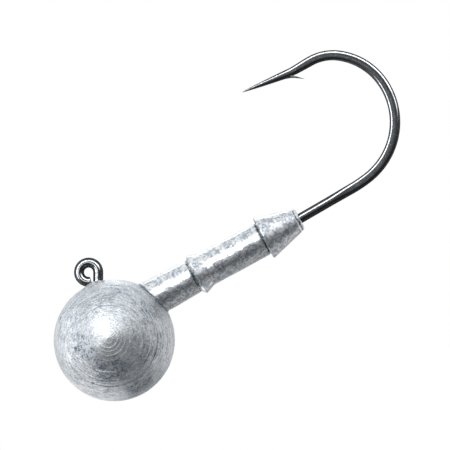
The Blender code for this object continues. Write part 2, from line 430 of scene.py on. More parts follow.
def ball_point(pole, turn):
    """A point of the skin, by its angle from the near pole and its angle round it."""
    direction = Vector((
        math.sin(pole) * math.cos(turn), -math.cos(pole), math.sin(pole) * math.sin(turn)
    ))
    side = 0 if pole < math.pi / 2 else 1
    angle = math.degrees(min(pole, math.pi - pole))
    point = BALL_MIDDLE + direction * BALL_RADIUS
    lift = ring_height(angle, side)
    lift += WIDE_DENTS * mnoise.noise(direction * 2.3 + Vector((3.0, 1.0, 8.0)))
    lift += FINE_DENTS * mnoise.noise(direction * 9.0)
    seam = (point.y / SEAM_WIDTH) ** 2
    lift += SEAM_HEIGHT * math.exp(-seam) * (0.7 + 0.5 * mnoise.noise(direction * 6.0))
    gap = (point - leg_root).length / MOUND_REACH
    lumps = 1 + 0.45 * mnoise.noise(point / MM * 1.7) + 0.2 * mnoise.noise(point / MM * 4.1)
    lift += MOUND_HEIGHT * lumps * math.exp(-gap**4)
    return BALL_MIDDLE + direction * (BALL_RADIUS - BALL_SINK + lift)


ball_rings = []
for row in range(1, BALL_ROWS):
    pole = math.pi * row / BALL_ROWS
    ball_rings.append([
        ball_point(pole, 2 * math.pi * k / BALL_COLUMNS) for k in range(BALL_COLUMNS)
    ])
head = skin("lead_head", ball_rings, (ball_point(0.0, 0.0), ball_point(math.pi, 0.0)))
print("ball skin has", len(head.data.polygons), "faces")

# %% [markdown]
# ## The keeper
#
# The keeper is a turned shape too: a collar with a low ring that slopes on both sides, then a
# waist, then a second ring with a nearly square face and a long cone, which holds the soft bait.
# The profile is drawn with sharp corners, and its corners are then rounded by averaging along it,
# the way thick molten lead fills a mould.

# %% The keeper's profile
COLLAR_RADIUS = 1.74          # where the keeper leaves the ball, in millimetres
KEEPER_PROFILE = (  # along the keeper from the ball's middle, and radius, in millimetres
    (2.00, COLLAR_RADIUS), (5.75, COLLAR_RADIUS),
    (9.46, 1.63), (9.53, 1.55), (9.60, 1.66), (9.92, 2.03),
    (10.90, 1.64), (16.88, 1.63), (16.93, 1.53), (17.01, 1.53), (17.04, 2.03), (17.14, 2.12),
    (20.58, 1.16), (20.66, 1.05), (20.74, 1.10), (20.86, 1.08),
    (20.98, 0.94), (20.98, 0.20),
)
PROFILE_STEP = 0.02
PROFILE_SOFTNESS = 0.045


def travel(points):
    """How far along its line each point lies."""
    return np.concatenate(([0], np.cumsum(np.hypot(*np.diff(points, axis=0).T))))


def soft_profile(points, softness):
    """The profile as even steps, with its corners rounded."""
    points = np.array(points)
    length = travel(points)
    steps = np.arange(0, length[-1], PROFILE_STEP)
    line = np.stack([np.interp(steps, length, points[:, k]) for k in (0, 1)], axis=1)
    reach = int(3 * softness / PROFILE_STEP) + 1
    weights = np.exp(-(np.arange(-reach, reach + 1) * PROFILE_STEP / softness) ** 2 / 2)
    weights /= weights.sum()
    soft = np.stack([
        np.convolve(np.pad(line[:, k], reach, mode="edge"), weights, mode="valid")
        for k in (0, 1)
    ], axis=1)
    return soft


profile = soft_profile(KEEPER_PROFILE, PROFILE_SOFTNESS)
travelled = travel(profile)
print("the keeper's outline is", round(float(travelled[-1]), 2), "mm long")

# %% [markdown]
# Where the collar leaves the ball, the lead has a fine bead with a groove beside it. To follow
# that line, the rows of the keeper bend with it: at each angle round the keeper, the place where
# a leaning cylinder cuts a ball is worked out, and the rows are moved there. The shift fades out
# before the first ring, which stands square again.

# %% Where keeper and ball meet
MEETING = 5.20                # millimetres along the keeper where its rows meet the ball
SHIFT_FADE = (6.0, 9.2)       # along the keeper, where the rows straighten again
BEAD = (0.085, 0.02, 0.075)   # height, place past the meeting line and half width
GROOVE = (0.035, 0.17, 0.055)
keeper_origin = BALL_MIDDLE + Vector((0, 0, KEEPER_RISE))
keeper_turn = Matrix.Rotation(KEEPER_LEAN, 3, "Y")


def meeting_line(angle):
    """Where the keeper's surface meets the ball at an angle round it, in millimetres."""
    rise, ball = KEEPER_RISE / MM, BALL_RADIUS / MM
    half = rise * math.sin(KEEPER_LEAN)
    rest = rise**2 + COLLAR_RADIUS**2 - ball**2
    rest += 2 * rise * COLLAR_RADIUS * math.sin(angle) * math.cos(KEEPER_LEAN)
    return half + math.sqrt(half**2 - rest)


def bump_at(place, shape):
    """A soft bump with a height, a place and a half width."""
    height, middle, half = shape
    return height * math.exp(-((place - middle) / half) ** 2)


print("keeper and ball meet", round(meeting_line(0.0), 2), "mm along the keeper")

# %% [markdown]
# The keeper's points then carry the bead, soft dents and the seam. The rows stand close together
# near the ball, where the bead needs them, and wider apart after it. The dents fade out towards
# the small end, where the shank comes out.

# %% Skin the keeper
KEEPER_SIDES = 160
ROW_GAP = 0.085
CLOSE_ROW_GAP = 0.03
FIRST_ROW = 4.6               # along the keeper, just inside the ball
CLOSE_RUN = 1.2
BEAD_END = 7.0
KEEPER_SEAM = 0.028
SEAM_REACH = 0.9              # the sine above which a point can lie on the seam
KEEPER_DENTS = ((0.022, 0.9), (0.008, 3.1))   # height and how many to a millimetre
DENT_ROUND = 1.9              # millimetres from the axis, where the dents are read
DENTS_FROM, DENTS_FADE = 0.9, 0.3


def keeper_point(along, radius, angle):
    """A point of the skin, by its place along the profile and its angle round the axis."""
    straight = float(smooth_step(*SHIFT_FADE, along))
    place = along + (meeting_line(angle) - MEETING) * (1 - straight)
    past = along - MEETING
    out = radius
    if along < BEAD_END:
        out += bump_at(past, BEAD) - bump_at(past, GROOVE)
    spot = Vector((place, DENT_ROUND * math.cos(angle), DENT_ROUND * math.sin(angle)))
    outside = min(1.0, max(0.0, (radius - DENTS_FROM) / DENTS_FADE))
    out += outside * sum(height * mnoise.noise(spot * rate) for height, rate in KEEPER_DENTS)
    if abs(math.sin(angle)) > SEAM_REACH:
        seam = radius * math.cos(angle) * MM / SEAM_WIDTH
        out += outside * KEEPER_SEAM * math.exp(-seam**2)
    local = Vector((place, out * math.cos(angle), out * math.sin(angle)))
    return keeper_origin + keeper_turn @ (local * MM)


start = travelled[np.searchsorted(profile[:, 0], FIRST_ROW)]
close_rows = np.arange(start, start + CLOSE_RUN, CLOSE_ROW_GAP)
wide_rows = np.arange(start, travelled[-1], ROW_GAP)
wide_rows = wide_rows[wide_rows > close_rows[-1] + CLOSE_ROW_GAP]
row_places = np.concatenate(([0.0], close_rows, wide_rows))
keeper_rows = np.stack([np.interp(row_places, travelled, profile[:, k]) for k in (0, 1)], axis=1)
keeper_rings = []
for along, radius in keeper_rows:
    keeper_rings.append([
        keeper_point(along, radius, 2 * math.pi * (k + 0.5) / KEEPER_SIDES)
        for k in range(KEEPER_SIDES)
    ])
keeper = skin("keeper", keeper_rings)
print("keeper skin has", len(keeper.data.polygons), "faces")
join_or_cut(head, keeper, "UNION")

# %% [markdown]
# ## The wire's bed in the lead
#
# Lead is poured round the wire and shrinks on it as it sets. A swollen copy of the wire is cut out
# of the casting, so that the two pieces meet closely all along the leg and the shank, and where
# the underside of the eye has sunk into the lead.

# %% Cut the bed
BED_GAP = 0.015 * MM
BED_STEP = 0.12 * MM
BED_SIDES = 32
BED_SHANK = 22.5 * MM         # past the small end of the keeper
bed_turn = EYE_TURN + math.degrees(BED_GAP / EYE_RADIUS)
bed_walk = Walk(*eye_start(bed_turn), BED_STEP)
bed_walk.arc(EYE_RADIUS, -bed_turn)
walk_neck(bed_walk)
bed_walk.line(BED_SHANK)
bed = skin("bed", wire_rings(np.array(bed_walk.stations), BED_SIDES, BED_GAP))
join_or_cut(head, bed, "DIFFERENCE")

# %% [markdown]
# Smooth shading hides the faces of a fine mesh, but a real edge has to stay sharp, such as the
# shoulder of the rear ring or the barb's cut. An angle decides which edges are real ones.

# %% Shade smooth and keep the edges
SHARP_ANGLES = ((head, 38), (hook, 40))
for piece, angle in SHARP_ANGLES:
    piece.data.shade_smooth()
    piece.data.set_sharp_from_angle(angle=math.radians(angle))
    print(piece.name, "has", sum(len(p.vertices) - 2 for p in piece.data.polygons), "triangles")

# %% [markdown]
# ## Tools for finishes
#
# A finish is a small net of shader nodes. These two helpers keep each net short: one adds a node
# and feeds its inputs, and one opens a node group with named inputs and outputs.

# %% Node helpers
def add(tree, kind, feeds=(), **settings):
    """Add a node, set its settings, and feed its inputs with sockets or plain values."""
    made = tree.nodes.new(kind)
    for key, value in settings.items():
        setattr(made, key, value)
    for key, value in dict(feeds).items():
        if isinstance(value, bpy.types.NodeSocket):
            tree.links.new(value, made.inputs[key])
        else:
            made.inputs[key].default_value = value
    return made


def calc(tree, operation, *values):
    """A sum, product or other step on plain numbers."""
    return add(tree, "ShaderNodeMath", enumerate(values), operation=operation).outputs[0]


def vector_calc(tree, operation, *values, out=0):
    """The same on vectors. Output 1 is the one for a length or a dot product."""
    made = add(tree, "ShaderNodeVectorMath", enumerate(values), operation=operation)
    return made.outputs[out]


def ramp(tree, value, low, high, start=0.0, end=1.0):
    """A smooth rise from start to end while the value goes from low to high."""
    feeds = {0: value, 1: low, 2: high, 3: start, 4: end}
    return add(tree, "ShaderNodeMapRange", feeds, interpolation_type="SMOOTHSTEP").outputs[0]


def blend(tree, share, one, two):
    """One colour where the share is 0, and two where it is 1."""
    feeds = {0: share, 6: one, 7: two}
    return add(tree, "ShaderNodeMix", feeds, data_type="RGBA").outputs[2]


# %% [markdown]
# Effects that more than one finish needs are node groups. A group puts out only masks, values and
# heights, and each finish decides what to do with them.

# %% Group helpers
def open_group(name, inputs, outputs):
    """A new group with named sockets, and the nodes' sockets inside it to work with."""
    tree = bpy.data.node_groups.new(name, "ShaderNodeTree")
    for label, kind, value in inputs:
        socket = tree.interface.new_socket(label, in_out="INPUT", socket_type=kind)
        if value is not None:
            socket.default_value = value
    for label, kind in outputs:
        tree.interface.new_socket(label, in_out="OUTPUT", socket_type=kind)
    return tree, tree.nodes.new("NodeGroupInput").outputs, tree.nodes.new("NodeGroupOutput").inputs


def use_group(tree, group, feeds):
    """Add a group to a finish and give back its outputs."""
    return add(tree, "ShaderNodeGroup", feeds, node_tree=group).outputs


FLOAT, VECTOR = "NodeSocketFloat", "NodeSocketVector"

# %% [markdown]
# ## Pits
#
# Gas and dirt leave small round pits in cast metal, and plating shows specks of the same shape.
# Cells of a Voronoi pattern give the places, and a second random value keeps only some of them.

# %% Group: pits
pits, pits_in, pits_out = open_group(
    "pits",
    (("Place", VECTOR, None), ("Per Millimetre", FLOAT, 1.0), ("Size", FLOAT, 0.15),
     ("Share", FLOAT, 0.2)),
    (("Mask", FLOAT),),
)
cell = add(pits, "ShaderNodeTexVoronoi", {"Vector": pits_in[0], "Scale": pits_in[1]})
kept = add(pits, "ShaderNodeSeparateColor", {0: cell.outputs["Color"]})
chosen = calc(pits, "GREATER_THAN", pits_in[3], kept.outputs[0])
uneven = calc(pits, "MULTIPLY", pits_in[2], calc(pits, "ADD", kept.outputs[1], 0.4))
depth = ramp(pits, calc(pits, "DIVIDE", cell.outputs["Distance"], uneven), 0.4, 1.0, 1.0, 0.0)
pits.links.new(calc(pits, "MULTIPLY", depth, chosen), pits_out[0])
print("pits uses", len(pits.nodes), "nodes")

# %% [markdown]
# ## Metal grain
#
# Lead sets into crystals that show as a soft mottle with sharper edges, and pressed steel keeps a
# finer pattern. The group mixes soft noise with cracks between cells. The coarse and the fine
# share are inputs, because the ball, the keeper and the wire want different amounts.

# %% Group: metal grain
grain, grain_in, grain_out = open_group(
    "metal_grain",
    (("Place", VECTOR, None), ("Per Millimetre", FLOAT, 4.0), ("Fine", FLOAT, 0.5)),
    (("Tone", FLOAT), ("Height", FLOAT)),
)
soft = add(grain, "ShaderNodeTexNoise", {
    "Vector": grain_in[0], "Scale": grain_in[1], "Detail": 2.0, "Roughness": 0.6,
    "Distortion": 0.5,
})
fine_rate = calc(grain, "MULTIPLY", grain_in[1], 2.2)
fine = add(grain, "ShaderNodeTexNoise", {
    "Vector": grain_in[0], "Scale": fine_rate, "Detail": 1.5, "Roughness": 0.6,
})
crystal = add(grain, "ShaderNodeTexVoronoi", {"Vector": grain_in[0], "Scale": fine_rate},
              feature="SMOOTH_F1")
both = calc(grain, "MULTIPLY_ADD", fine.outputs[0], grain_in[2], soft.outputs[0])
both = calc(grain, "MULTIPLY_ADD", crystal.outputs["Distance"], 0.35, both)
tone = calc(grain, "MULTIPLY", soft.outputs[0], 0.4)
tone = calc(grain, "MULTIPLY_ADD", fine.outputs[0], 0.6, tone)
grain.links.new(ramp(grain, tone, 0.40, 0.60), grain_out[0])
grain.links.new(both, grain_out[1])
print("metal grain uses", len(grain.nodes), "nodes")

# %% [markdown]
# ## Turned rings
#
# The tool that cut the ball's mould left a fine thread of rings. They depend only on the distance
# from the pole, measured over the ball, so a one-way noise of that distance draws them. They
# wander a little, and they are stronger in some places than in others.

# %% Group: turned rings
rings, rings_in, rings_out = open_group(
    "turned_rings",
    (("Place", VECTOR, None), ("Ball Radius", FLOAT, 5.75), ("Per Millimetre", FLOAT, 5.0)),
    (("Height", FLOAT), ("Pole Distance", FLOAT), ("Dashes", FLOAT)),
)
parts = add(rings, "ShaderNodeSeparateXYZ", {0: rings_in[0]})
upright = calc(rings, "DIVIDE", calc(rings, "ABSOLUTE", parts.outputs[1]), rings_in[1])
arc = calc(rings, "ARCCOSINE", calc(rings, "MINIMUM", upright, 1.0))
arc = calc(rings, "MULTIPLY", arc, rings_in[1])
wander = add(rings, "ShaderNodeTexNoise", {"Vector": rings_in[0], "Scale": 0.35, "Detail": 1.0})
wandering = calc(rings, "MULTIPLY_ADD", wander.outputs[0], 0.35, arc)
thread = add(rings, "ShaderNodeTexNoise", {
    "W": wandering, "Scale": rings_in[2], "Detail": 2.5, "Roughness": 0.6,
}, noise_dimensions="1D")
flat = add(rings, "ShaderNodeCombineXYZ", {0: parts.outputs[0], 2: parts.outputs[2]})
bearing = vector_calc(rings, "NORMALIZE", flat.outputs[0])
bearing = add(rings, "ShaderNodeSeparateXYZ", {0: bearing})
along = add(rings, "ShaderNodeCombineXYZ", {
    0: calc(rings, "MULTIPLY", bearing.outputs[0], 1.3), 1: wandering,
    2: calc(rings, "MULTIPLY", bearing.outputs[2], 1.3),
})
dashes = add(rings, "ShaderNodeTexNoise", {
    "Vector": along.outputs[0], "Scale": rings_in[2], "Detail": 2.0, "Roughness": 0.6,
})
patch = add(rings, "ShaderNodeTexNoise", {"Vector": rings_in[0], "Scale": 0.8, "Detail": 2.0})
strength = ramp(rings, patch.outputs[0], 0.30, 0.65, 0.35, 1.0)
turned = calc(rings, "MULTIPLY", thread.outputs[0], strength)
rings.links.new(calc(rings, "MULTIPLY_ADD", dashes.outputs[0], 0.9, turned), rings_out[0])
rings.links.new(arc, rings_out[1])
rings.links.new(ramp(rings, dashes.outputs[0], 0.36, 0.62), rings_out[2])
print("turned rings uses", len(rings.nodes), "nodes")

# %% [markdown]
# ## Cast lead
#
# The ball's skin is dull, because the turned mould made it rough and lead soon greys in air. The
# keeper came out of a smoother mould, so it is brighter and mirrors more, with crystals and pits
# showing. Two materials would leave a hard line between them on one mesh. So one finish holds
# both, and a mask by distance from the ball's middle parts them. Every effect reads the same
# place: millimetres from the ball's middle.

# %% Cast lead: place, effects and mask
def place_in_mm(tree, middle):
    """Millimetres from a middle, along the piece's own axes."""
    place = add(tree, "ShaderNodeTexCoord").outputs["Object"]
    place = vector_calc(tree, "SUBTRACT", place, middle)
    feeds = {0: place, "Scale": 1 / MM}
    return add(tree, "ShaderNodeVectorMath", feeds, operation="SCALE").outputs[0]


BALL_MM = BALL_RADIUS / MM
lead = bpy.data.materials.new("cast_lead_skin")
lead.use_nodes = True
tree = lead.node_tree
shader = tree.nodes["Principled BSDF"]
place_mm = place_in_mm(tree, BALL_MIDDLE)
reach = vector_calc(tree, "LENGTH", place_mm, out=1)
on_keeper = ramp(tree, reach, BALL_MM + 0.10, BALL_MM + 0.30)
ring_out = use_group(tree, rings, {
    "Place": place_mm, "Ball Radius": BALL_MM, "Per Millimetre": 4.2,
})
near_pole = ramp(tree, ring_out["Pole Distance"], 0.8, 3.4, 1.0, 0.0)
ball_grain = use_group(tree, grain, {"Place": place_mm, "Per Millimetre": 2.6, "Fine": 0.9})
keeper_grain = use_group(tree, grain, {"Place": place_mm, "Per Millimetre": 1.8, "Fine": 0.3})
print("cast lead starts with", len(tree.nodes), "nodes")

# %% [markdown]
# Lead greys unevenly. The ball runs from dull to bright through a mix of broken rings, grain and a
# fine speckle, and it is brightest by the pole. The sum of those masks is kept under its own name,
# because the stains and the roughness read it too.

# %% Cast lead: how bright the ball is
DULL_LEAD = (0.23, 0.265, 0.31, 1)
BRIGHT_LEAD = (0.68, 0.69, 0.695, 1)
speckle = add(tree, "ShaderNodeTexNoise", {
    "Vector": place_mm, "Scale": 7.0, "Detail": 2.0, "Roughness": 0.7,
})
speckled = ramp(tree, speckle.outputs[0], 0.38, 0.62)
bright = calc(tree, "MULTIPLY", ring_out["Dashes"], 0.35)
bright = calc(tree, "MULTIPLY_ADD", ball_grain["Tone"], 0.25, bright)
bright = calc(tree, "MULTIPLY_ADD", speckled, 0.4, bright)
bright = calc(tree, "MULTIPLY_ADD", near_pole, 0.35, bright)
ball_colour = blend(tree, bright, DULL_LEAD, BRIGHT_LEAD)
print("the ball's colour goes from", DULL_LEAD[:3], "to", BRIGHT_LEAD[:3])

# %% [markdown]
# Blue-grey stains lie where the lead has been damp. A wide noise gives them ragged outlines, and a
# few chosen places push the noise up, so that the stains fall below and beside the pole. A stain
# takes the dull hollows first and spares the bright grain. Last come a few fresh nicks, which
# show clean metal.

# %% Cast lead: stains and nicks
STAINED_LEAD = (0.10, 0.13, 0.17, 1)
CLEAN_LEAD = (0.95, 0.93, 0.90, 1)
STAINS = (  # place from the ball's middle and reach, in millimetres, and strength
    ((-2.1, -5.3, 0.4), 2.0, 0.26), ((-1.2, -5.0, -2.5), 2.3, 0.27),
    ((0.0, -2.4, -5.2), 2.2, 0.22), ((2.4, -4.5, -2.6), 2.0, 0.12),
)
stain = add(tree, "ShaderNodeTexNoise", {
    "Vector": place_mm, "Scale": 0.55, "Detail": 7.0, "Roughness": 0.72,
}).outputs[0]
for spot, wide, strength in STAINS:
    gap = vector_calc(tree, "DISTANCE", place_mm, spot, out=1)
    stain = calc(tree, "ADD", stain, ramp(tree, gap, 0.2 * wide, wide, strength, 0.0))
spared = ramp(tree, bright, 0.15, 0.75, 0.95, 0.25)
stained = calc(tree, "MULTIPLY", ramp(tree, stain, 0.50, 0.72), spared)
ball_colour = blend(tree, stained, ball_colour, STAINED_LEAD)
nicks = use_group(tree, pits, {
    "Place": place_mm, "Per Millimetre": 0.8, "Size": 0.09, "Share": 0.10,
})
ball_colour = blend(tree, nicks["Mask"], ball_colour, CLEAN_LEAD)
print(len(STAINS), "stains lie on the ball")

# %% [markdown]
# The keeper shows its crystals as light and dark flakes. Its creases get painted shade, a darker
# colour: where it leaves the ball, at the foot of each ring and round the small end. The first one
# is found by the distance from the ball's middle, and the others by their place along the keeper's
# leaning axis.

# %% Cast lead: the keeper's colour and its creases
DULL_FLAKE = (0.34, 0.37, 0.41, 1)
BRIGHT_FLAKE = (0.76, 0.76, 0.76, 1)
# The tone of the painted shade in the keeper's creases.
CREASE_SHADE = (0.06, 0.08, 0.10, 1)
CREASES = ((9.56, 0.17), (17.00, 0.17), (20.68, 0.09))   # along the keeper, and half width
keeper_axis = keeper_turn @ Vector((1, 0, 0))
keeper_colour = blend(tree, keeper_grain["Tone"], DULL_FLAKE, BRIGHT_FLAKE)
colour = blend(tree, on_keeper, ball_colour, keeper_colour)
from_axis_start = vector_calc(tree, "SUBTRACT", place_mm, Vector((0, 0, KEEPER_RISE / MM)))
along = vector_calc(tree, "DOT_PRODUCT", from_axis_start, keeper_axis, out=1)
crease_shade = calc(tree, "MULTIPLY", ramp(tree, reach, BALL_MM + 0.01, BALL_MM + 0.05),
            ramp(tree, reach, BALL_MM + 0.11, BALL_MM + 0.20, 1.0, 0.0))
crease_shade = calc(tree, "MULTIPLY", crease_shade, ramp(tree, along, 3.0, 4.0))
for middle, half in CREASES:
    gap = calc(tree, "ABSOLUTE", calc(tree, "SUBTRACT", along, middle))
    crease_shade = calc(tree, "MAXIMUM", crease_shade, ramp(tree, gap, half * 0.5, half, 1.0, 0.0))
uneven_crease_shade = ramp(tree, keeper_grain["Tone"], 0.0, 1.0, 0.95, 0.55)
crease_shade = calc(tree, "MULTIPLY", crease_shade, uneven_crease_shade)
# Painted shade: the creases where the keeper leaves the ball and at the foot of each ring are
# darkened.
colour = blend(tree, crease_shade, colour, CREASE_SHADE)
print("dirt lies in", len(CREASES) + 1, "creases")

# %% [markdown]
# Gas leaves pits of two sizes. They are dark, and they sink in the relief too. The pole has none,
# so that its highlight stays whole.

# %% Cast lead: pits
PIT_DARK = (0.07, 0.085, 0.10, 1)
PIT_KINDS = ((0.9, 0.19, 0.22), (2.4, 0.22, 0.14))   # per millimetre, size and share
pitted = 0.0
for rate, size, share in PIT_KINDS:
    mask = use_group(tree, pits, {
        "Place": place_mm, "Per Millimetre": rate, "Size": size, "Share": share,
    })["Mask"]
    pitted = calc(tree, "MAXIMUM", pitted, mask)
pitted = calc(tree, "MULTIPLY", pitted, ramp(tree, near_pole, 0.0, 0.5, 1.0, 0.0))
colour = blend(tree, calc(tree, "MULTIPLY", pitted, 0.75), colour, PIT_DARK)
tree.links.new(colour, shader.inputs["Base Color"])
print("pits come in", len(PIT_KINDS), "sizes")

# %% [markdown]
# Dull lead is rougher than bright lead, so the same masks drive the roughness. The relief that is
# too fine for the mesh goes through a Bump node: the thread of rings and the grain on the ball,
# calmer by the pole, and soft crystals on the keeper.

# %% Cast lead: roughness and relief
RELIEF = 0.012 * MM
ball_rough = ramp(tree, bright, 0.0, 1.0, 0.44, 0.34)
ball_rough = calc(tree, "MULTIPLY_ADD", near_pole, -0.10, ball_rough)
keeper_rough = ramp(tree, keeper_grain["Tone"], 0.0, 1.0, 0.28, 0.20)
rough = add(tree, "ShaderNodeMix", {0: on_keeper, 2: ball_rough, 3: keeper_rough})
tree.links.new(rough.outputs[0], shader.inputs["Roughness"])
ball_height = calc(tree, "MULTIPLY", ball_grain["Height"], 1.4)
ball_height = calc(tree, "MULTIPLY_ADD", ring_out["Height"], 3.2, ball_height)
ball_height = calc(tree, "MULTIPLY_ADD", speckle.outputs[0], 0.5, ball_height)
ball_height = calc(tree, "MULTIPLY", ball_height, ramp(tree, near_pole, 0.0, 1.0, 1.0, 0.45))
keeper_height = calc(tree, "MULTIPLY", keeper_grain["Height"], 0.8)
height = add(tree, "ShaderNodeMix", {0: on_keeper, 2: ball_height, 3: keeper_height})
height = calc(tree, "MULTIPLY_ADD", pitted, -3.0, height.outputs[0])
bump = add(tree, "ShaderNodeBump", {"Strength": 1.0, "Distance": RELIEF, "Height": height})
tree.links.new(bump.outputs[0], shader.inputs["Normal"])
print("one unit of relief is", RELIEF / MM, "mm")

# %% [markdown]
# A highlight on turned metal is drawn out across the marks. An anisotropic gloss does that along
# a tangent. On the ball the tangent runs from pole to pole, square to the rings, and on the
# keeper it runs along the axis. The values that never change are set straight on the shader.

# %% Cast lead: drawn-out gloss and fixed values
around = vector_calc(tree, "CROSS_PRODUCT", (0, 1, 0), place_mm)
meridian = vector_calc(tree, "NORMALIZE", vector_calc(tree, "CROSS_PRODUCT", around, place_mm))
grain_line = add(tree, "ShaderNodeMix", {0: on_keeper, 4: meridian, 5: keeper_axis},
                 data_type="VECTOR")
tree.links.new(grain_line.outputs[1], shader.inputs["Tangent"])
shader.inputs["Metallic"].default_value = 0.94
shader.inputs["Anisotropic"].default_value = 0.6
shader.inputs["Sheen Weight"].default_value = 0.2
shader.inputs["Sheen Roughness"].default_value = 0.4
head.data.materials.clear()
head.data.materials.append(lead)
print("cast lead uses", len(tree.nodes), "nodes")

# %% [markdown]
# ## Black nickel
#
# Black nickel is a thin dark plating that stays glossy. It follows the drawn wire, so it is nearly
# smooth, with a fine grain where the press has flattened the steel and a few bright specks.

# %% Finish: black nickel
DARK_PLATE = (0.050, 0.053, 0.056, 1)
LIGHT_PLATE = (0.090, 0.093, 0.096, 1)
BARE_SPECK = (0.60, 0.58, 0.56, 1)
PLATE_RELIEF = 0.0009 * MM
nickel = bpy.data.materials.new("black_nickel_plate")
nickel.use_nodes = True
tree = nickel.node_tree
shader = tree.nodes["Principled BSDF"]
place_mm = place_in_mm(tree, Vector((0, 0, 0)))
wire_grain = use_group(tree, grain, {"Place": place_mm, "Per Millimetre": 3.0, "Fine": 0.8})
specks = use_group(tree, pits, {
    "Place": place_mm, "Per Millimetre": 5.0, "Size": 0.20, "Share": 0.22,
})["Mask"]
colour = blend(tree, wire_grain["Tone"], DARK_PLATE, LIGHT_PLATE)
colour = blend(tree, calc(tree, "MULTIPLY", specks, 0.6), colour, BARE_SPECK)
tree.links.new(colour, shader.inputs["Base Color"])
tree.links.new(ramp(tree, wire_grain["Tone"], 0.0, 1.0, 0.18, 0.11), shader.inputs["Roughness"])
height = calc(tree, "MULTIPLY_ADD", specks, 1.5, wire_grain["Height"])
bump = add(tree, "ShaderNodeBump", {"Strength": 1.0, "Distance": PLATE_RELIEF, "Height": height})
tree.links.new(bump.outputs[0], shader.inputs["Normal"])
shader.inputs["Metallic"].default_value = 1.0
shader.inputs["Specular Tint"].default_value = (0.15, 0.16, 0.16, 1)
hook.data.materials.clear()
hook.data.materials.append(nickel)
print("black nickel uses", len(tree.nodes), "nodes")

# %% [markdown]
# ## Both pieces take their places
#
# The object has one body, and both pieces ride on it. Each stands for its plain piece.

# %% Ride and replace
for piece, node, slot in ((head, "cast_head", "cast_lead"), (hook, "hook", "black_nickel")):
    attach(piece, "root")
    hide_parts(node)
    print(piece.name, "stands for", node)

# %% [markdown]
# ## Floor
#
# The jig head hangs over a plain pale floor, far enough below it that no shadow edge shows. The
# floor stays out of reflections, because the room below gives the metal its own darks.

# %% Floor
FLOOR_Z = -35 * MM
FLOOR_HALF = 4.0              # metres
floor_mesh = bpy.data.meshes.new("floor")
bm = bmesh.new()
bmesh.ops.create_grid(bm, x_segments=1, y_segments=1, size=FLOOR_HALF)
bm.to_mesh(floor_mesh)
bm.free()
floor = bpy.data.objects.new("floor", floor_mesh)
floor.location = (0, 0, FLOOR_Z)
floor.visible_glossy = False
bpy.context.scene.collection.objects.link(floor)
paper = bpy.data.materials.new("pale_paper")
paper.use_nodes = True
paper_shader = paper.node_tree.nodes["Principled BSDF"]
paper_shader.inputs["Base Color"].default_value = (0.9, 0.9, 0.9, 1)
paper_shader.inputs["Roughness"].default_value = 0.9
floor.data.materials.append(paper)
print("the floor lies", -FLOOR_Z / MM, "mm below the eye")

# %% [markdown]
# ## The room
#
# Bare metal shows its surroundings, so the room is what makes it read. The keeper and the shank
# are long round shapes, and such a shape mirrors one turn of the room about its own axis. So the
# room is a row of tones over the angle about the hook's long axis: bright above the front, dark
# just under it, and grey below and behind. A colour ramp holds the row, scaled down to fit it.

# %% Room: tones about the long axis
ROOM = (  # degrees up from the front, and brightness
    (-180, 0.50), (-135, 0.36), (-90, 0.40), (-65, 0.22), (-46, 0.12), (-22, 0.26), (0, 0.80),
    (12, 1.25), (30, 1.65), (55, 1.30), (75, 1.05), (95, 1.15), (130, 1.20), (180, 0.50),
)
ROOM_PEAK = 2.0
ROOM_TINT = (0.965, 1.0, 1.025)
world = bpy.data.worlds.new("studio")
bpy.context.scene.world = world
world.use_nodes = True
tree = world.node_tree
toward = add(tree, "ShaderNodeTexCoord").outputs["Generated"]
parts = add(tree, "ShaderNodeSeparateXYZ", {0: toward})
rightward = parts.outputs[0]
frontward = calc(tree, "MULTIPLY", parts.outputs[1], -1.0)
angle = calc(tree, "ARCTAN2", parts.outputs[2], frontward)
turn = calc(tree, "MULTIPLY_ADD", angle, 1 / (2 * math.pi), 0.5)
tones = add(tree, "ShaderNodeValToRGB", {0: turn})
stops = tones.color_ramp.elements
for degrees, brightness in ROOM[1:-1]:
    stops.new(degrees / 360 + 0.5)
for stop, (degrees, brightness) in zip(stops, ROOM):
    stop.color = [brightness / ROOM_PEAK * tint for tint in ROOM_TINT] + [1]
feeds = {0: tones.outputs[0], "Scale": ROOM_PEAK}
room = add(tree, "ShaderNodeVectorMath", feeds, operation="SCALE").outputs[0]
print("the room has", len(stops), "tones")

# %% [markdown]
# The ball mirrors the ends of the room as well. Both ends are pale, and behind and below the
# object they reach further in, which gives the ball its light rim. A dark card in front, low and
# a little to the right, keeps the ball's lower half dark beside that rim.

# %% Room: pale ends and a dark card
CARD_TONE = (0.18, 0.19, 0.21, 1)
end_tone = ramp(tree, rightward, -0.5, 0.8, 1.30, 0.95)
end_edge = ramp(tree, turn, 0.14, 0.36, 0.32, 0.86)
past_edge = calc(tree, "SUBTRACT", calc(tree, "ABSOLUTE", rightward), end_edge)
room = blend(tree, ramp(tree, past_edge, -0.20, 0.14), room, end_tone)
card = calc(tree, "MULTIPLY", ramp(tree, turn, 0.35, 0.42), ramp(tree, turn, 0.525, 0.565, 1.0, 0.0))
card = calc(tree, "MULTIPLY", card, ramp(tree, rightward, 0.05, 0.15))
card = calc(tree, "MULTIPLY", card, ramp(tree, rightward, 0.20, 0.55, 1.0, 0.0))
room = blend(tree, card, room, CARD_TONE)
print("the room now uses", len(tree.nodes), "nodes")

# %% [markdown]
# The row of tones is only for reflections. The floor gets an even light from all round, and the
# ground beyond the floor is white. A Light Path node tells the kinds of ray apart.

# %% Room: even light and a white ground
EVEN_LIGHT = (1.25, 1.25, 1.25, 1)
WHITE = (1, 1, 1, 1)
path = add(tree, "ShaderNodeLightPath")
room = blend(tree, path.outputs["Is Diffuse Ray"], room, EVEN_LIGHT)
room = blend(tree, path.outputs["Is Camera Ray"], room, WHITE)
tree.links.new(room, tree.nodes["Background"].inputs[0])
print("even light is", EVEN_LIGHT[0])

